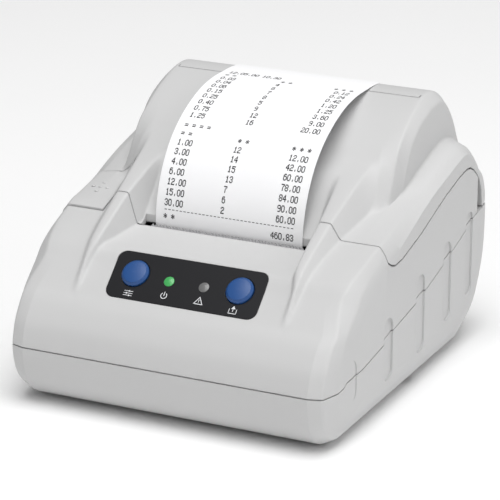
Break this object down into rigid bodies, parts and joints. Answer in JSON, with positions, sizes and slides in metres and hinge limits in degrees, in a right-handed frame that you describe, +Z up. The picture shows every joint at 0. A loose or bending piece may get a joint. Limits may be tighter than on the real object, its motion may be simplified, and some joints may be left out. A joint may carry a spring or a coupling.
{
  "type": "receipt printer",
  "caption": "Compact clamshell receipt printer with a domed roll cover, release lever, two-button panel, thermal print mechanism and a printed receipt standing out of the slot.",
  "frame": {"origin": "centre of the footprint, on the surface the feet stand on", "axes": "front faces -Y, right side is +X, up is +Z"},
  "size_m": [0.1268, 0.146, 0.0984],
  "materials": {
    "case_plastic": "light grey, finely textured",
    "panel_plastic": "near black, smooth satin",
    "button_plastic": "blue, satin",
    "lens_green": "green translucent lens",
    "lens_grey": "grey translucent lens",
    "dark_plastic": "dark grey moulded",
    "port_plastic": "black moulded",
    "white_plastic": "natural white acetal",
    "board": "green lacquered circuit board",
    "steel": "bright steel",
    "frame_steel": "dark plated sheet steel",
    "head_ceramic": "glazed thermal element strip",
    "heat_sink_metal": "milled aluminium",
    "gear_brass": "cut brass",
    "platen_rubber": "ground black rubber",
    "foot_rubber": "moulded black rubber",
    "thermal_paper": "smooth white thermal paper",
    "core_card": "plain grey-brown tube"
  },
  "bodies": {
    "base": {"lower_case": "case_plastic", "upper_case": "case_plastic", "control_panel": "panel_plastic", "power_led": "lens_green", "error_led": "lens_grey", "panel_board": "board", "panel_switches": "port_plastic", "tear_bar": "steel", "mechanism_frame": "frame_steel", "print_head": "head_ceramic", "heat_sink": "heat_sink_metal", "head_springs": "steel", "head_ribbon": "white_plastic", "paper_sensor": "port_plastic", "stepper_motor": "steel", "idler_pin": "steel", "paper_bin": "dark_plastic", "paper_web": "thermal_paper", "main_board": "board", "board_chips": "port_plastic", "power_jack": "port_plastic", "data_port": "steel", "drawer_port": "port_plastic", "switch_housing": "port_plastic", "rubber_feet": "foot_rubber", "case_screws": "steel", "mechanism_screws": "steel", "board_screws": "steel", "buzzer": "port_plastic", "lever_spring": "steel"},
    "lid_body": {"lid": "case_plastic", "hinge_pins": "steel", "platen_holder": "dark_plastic", "platen_bearings": "white_plastic", "receipt": "thermal_paper"},
    "lever_body": {"release_lever": "case_plastic", "lever_pin": "steel", "latch_hook": "frame_steel"},
    "set_body": {"set_button": "button_plastic"},
    "feed_body": {"feed_button": "button_plastic"},
    "rocker_body": {"power_rocker": "port_plastic"},
    "platen_body": {"platen_roller": "platen_rubber", "platen_shaft": "steel", "platen_gear": "white_plastic"},
    "idler_body": {"idler_gear": "white_plastic"},
    "pinion_body": {"motor_pinion": "gear_brass"},
    "roll_body": {"paper_roll": "thermal_paper", "roll_core": "core_card"}
  },
  "joints": [
    {"name": "lid_hinge", "type": "hinge", "parent": "base", "child": "lid_body", "pos_m": [0, 0.0704, 0.0502], "axis": [-1, 0, 0], "range_deg": [0, 80]},
    {"name": "lever_pivot", "type": "hinge", "parent": "base", "child": "lever_body", "pos_m": [0, -0.007, 0.0624], "axis": [-1, 0, 0], "range_deg": [0, 12]},
    {"name": "set_press", "type": "slide", "parent": "base", "child": "set_body", "axis": [0, 0.6717, -0.7408], "range_m": [0, 0.0008]},
    {"name": "feed_press", "type": "slide", "parent": "base", "child": "feed_body", "axis": [0, 0.6717, -0.7408], "range_m": [0, 0.0008]},
    {"name": "power_rock", "type": "hinge", "parent": "base", "child": "rocker_body", "pos_m": [0.033, 0.0604, 0.01725], "axis": [1, 0, 0], "range_deg": [-10, 0]},
    {"name": "platen_spin", "type": "hinge", "parent": "lid_body", "child": "platen_body", "pos_m": [0, -0.0152, 0.0475], "axis": [1, 0, 0], "continuous": true},
    {"name": "idler_spin", "type": "hinge", "parent": "base", "child": "idler_body", "pos_m": [0, -0.0192, 0.03304], "axis": [1, 0, 0], "continuous": true},
    {"name": "motor_spin", "type": "hinge", "parent": "base", "child": "pinion_body", "pos_m": [0, -0.03096, 0.02705], "axis": [1, 0, 0], "continuous": true},
    {"name": "roll_spin", "type": "hinge", "parent": "base", "child": "roll_body", "pos_m": [0, 0.031, 0.066], "axis": [1, 0, 0], "continuous": true}
  ],
  "couplings": [
    {"joint": "platen_spin", "follows": "roll_spin", "ratio": 4.375},
    {"joint": "idler_spin", "follows": "roll_spin", "ratio": -2.9167},
    {"joint": "motor_spin", "follows": "roll_spin", "ratio": 6.25}
  ]
}
